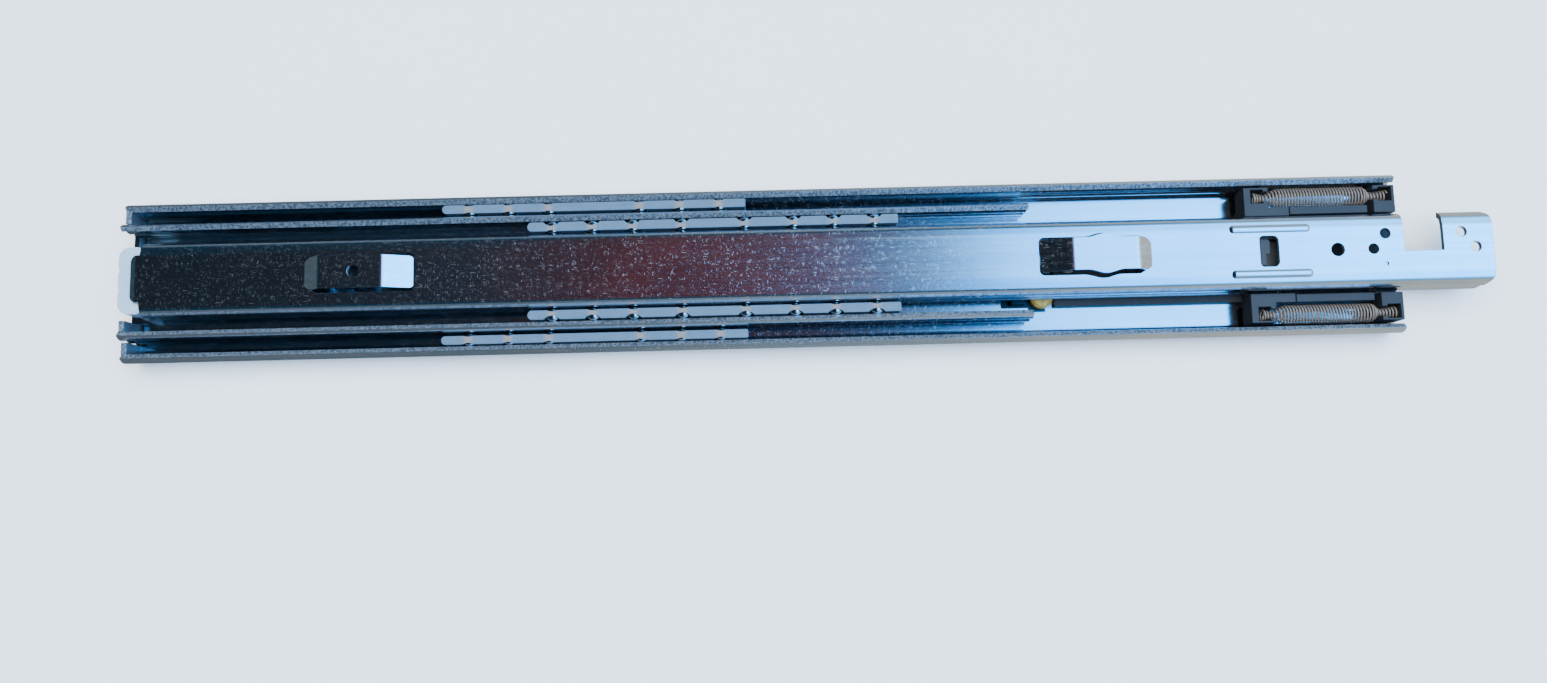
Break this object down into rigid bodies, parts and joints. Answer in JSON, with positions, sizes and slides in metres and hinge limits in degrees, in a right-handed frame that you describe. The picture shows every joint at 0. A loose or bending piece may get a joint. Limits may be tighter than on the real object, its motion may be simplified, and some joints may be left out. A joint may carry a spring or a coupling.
{
  "type": "drawer slide",
  "caption": "Side-mounted full-extension ball-bearing drawer slide: three nested zinc steel channels, nylon ball cages, bayonet bridges and a spring self-closing unit, closed.",
  "frame": {"origin": "on the mounting face, on the centreline, at the front end of the cabinet member", "axes": "+X along the slide from its front end to its rear end, +Y up the cabinet side, +Z out of the mounting face towards the drawer"},
  "size_m": [0.4475, 0.053, 0.0231],
  "materials": {
    "zinc_steel": "bright zinc plate over rolled steel",
    "cage_nylon": "translucent natural nylon",
    "ball_steel": "polished",
    "white_nylon": "satin white nylon",
    "black_plastic": "moulded, fine texture",
    "spring_steel": "bright drawn wire",
    "brass": "yellow passivated",
    "rivet_brass": "dull yellow passivated"
  },
  "bodies": {
    "cabinet_side": {"cabinet_member": "zinc_steel", "closer_housing": "black_plastic", "housing_rivets": "rivet_brass", "stop_stud": "brass", "closer_spring_upper": "spring_steel", "closer_spring_lower": "spring_steel"},
    "outer_cages": {"outer_cage_upper": "cage_nylon", "outer_cage_lower": "cage_nylon", "outer_balls_upper": "ball_steel", "outer_balls_lower": "ball_steel"},
    "middle": {"intermediate_member": "zinc_steel"},
    "inner_cages": {"inner_cage_upper": "cage_nylon", "inner_cage_lower": "cage_nylon", "inner_balls_upper": "ball_steel", "inner_balls_lower": "ball_steel"},
    "drawer_side": {"drawer_member": "zinc_steel", "front_bumper": "white_nylon"},
    "slider": {"closer_slider": "black_plastic", "catch_pin": "ball_steel"},
    "catch": {"closer_catch": "black_plastic"}
  },
  "joints": [
    {"name": "intermediate_slide", "type": "slide", "parent": "cabinet_side", "child": "middle", "axis": [-1, 0, 0], "range_m": [0, 0.196]},
    {"name": "drawer_slide", "type": "slide", "parent": "middle", "child": "drawer_side", "axis": [-1, 0, 0], "range_m": [0, 0.224]},
    {"name": "outer_cage_roll", "type": "slide", "parent": "cabinet_side", "child": "outer_cages", "axis": [-1, 0, 0], "range_m": [0, 0.098]},
    {"name": "inner_cage_roll", "type": "slide", "parent": "middle", "child": "inner_cages", "axis": [-1, 0, 0], "range_m": [0, 0.112]},
    {"name": "closer_slide", "type": "slide", "parent": "cabinet_side", "child": "slider", "axis": [-1, 0, 0], "range_m": [0, 0.045], "stiffness_N_per_m": 250, "springref_m": -0.02, "deforming": ["closer_spring_upper", "closer_spring_lower"]},
    {"name": "catch_tilt", "type": "hinge", "parent": "slider", "child": "catch", "pos_m": [0.3802, 0, 0.0096], "axis": [0, -1, 0], "range_deg": [0, 8]}
  ],
  "couplings": [
    {"joint": "outer_cage_roll", "follows": "intermediate_slide", "ratio": 0.5},
    {"joint": "inner_cage_roll", "follows": "drawer_slide", "ratio": 0.5}
  ]
}
